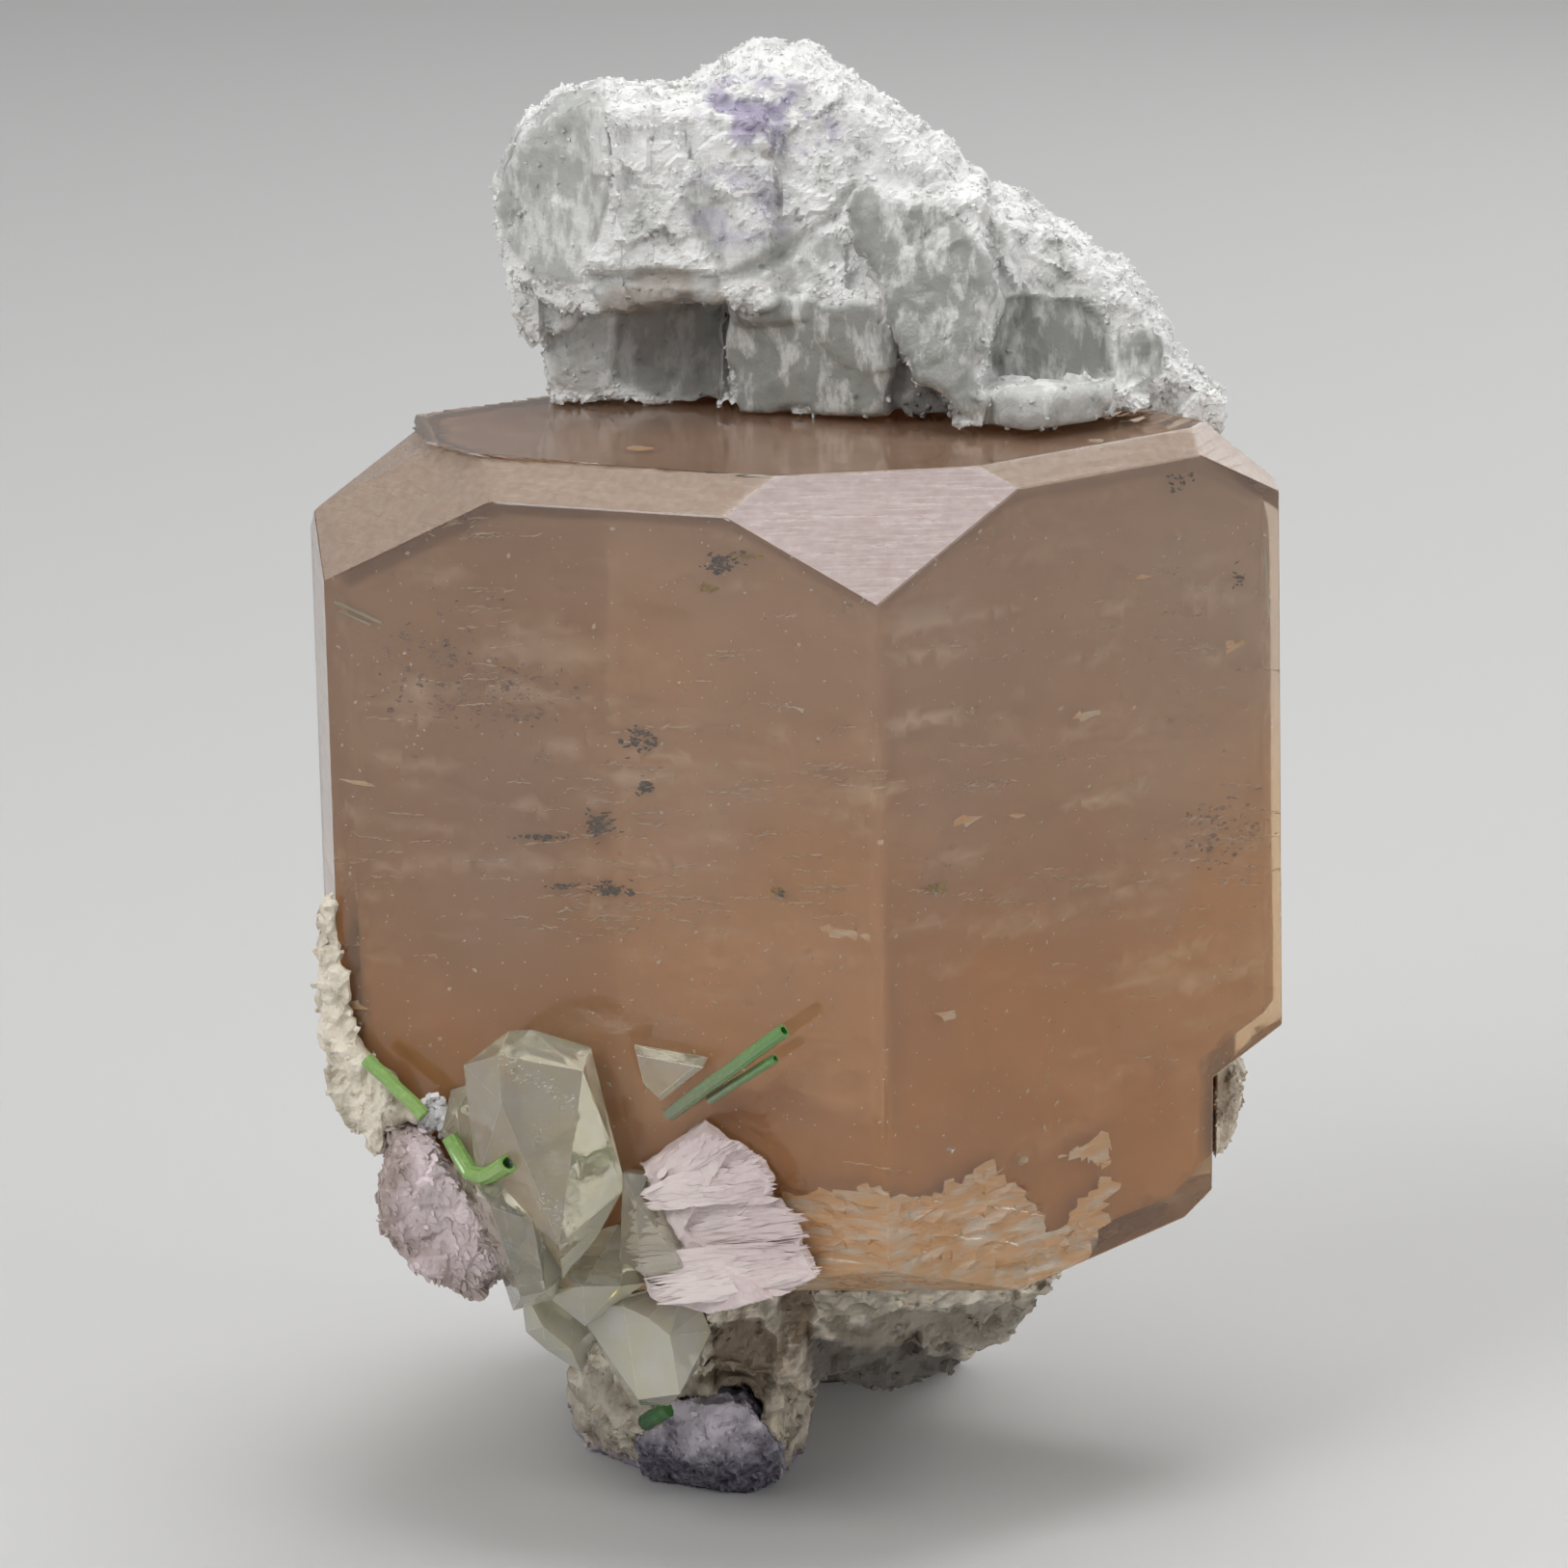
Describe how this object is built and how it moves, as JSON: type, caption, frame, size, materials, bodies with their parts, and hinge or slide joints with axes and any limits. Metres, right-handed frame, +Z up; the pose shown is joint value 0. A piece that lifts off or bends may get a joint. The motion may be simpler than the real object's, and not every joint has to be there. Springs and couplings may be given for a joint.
{
  "type": "morganite crystal specimen",
  "caption": "Stout hexagonal peach morganite crystal on a narrow matrix foot, capped by pale albite, with quartz, lilac lepidolite and green tourmaline at its base.",
  "frame": {"origin": "on the flat rest face under the matrix's foot, below the crystal's front left half", "axes": "+Z up along the specimen's height, -Y out of the front that the picture shows, +X to the right seen from the front"},
  "size_m": [0.0805, 0.0719, 0.12],
  "materials": {
    "morganite": "translucent peach, glossy faces",
    "albite": "white to grey-green, sugary",
    "quartz": "clear pale straw, glossy",
    "lepidolite": "lilac, pearly flakes",
    "tourmaline": "green, glossy"
  },
  "bodies": {
    "root": {"morganite_crystal": "morganite", "albite_cap": "albite", "albite_matrix": "albite", "albite_patch": "albite", "quartz_cluster": "quartz", "quartz_shard": "quartz", "lepidolite_left": "lepidolite", "lepidolite_fan": "lepidolite", "lepidolite_foot": "lepidolite", "tourmaline_long_needle": "tourmaline", "tourmaline_short_needle": "tourmaline", "tourmaline_left_needle": "tourmaline", "tourmaline_elbow": "tourmaline", "tourmaline_foot_stub": "tourmaline"}
  },
  "joints": []
}
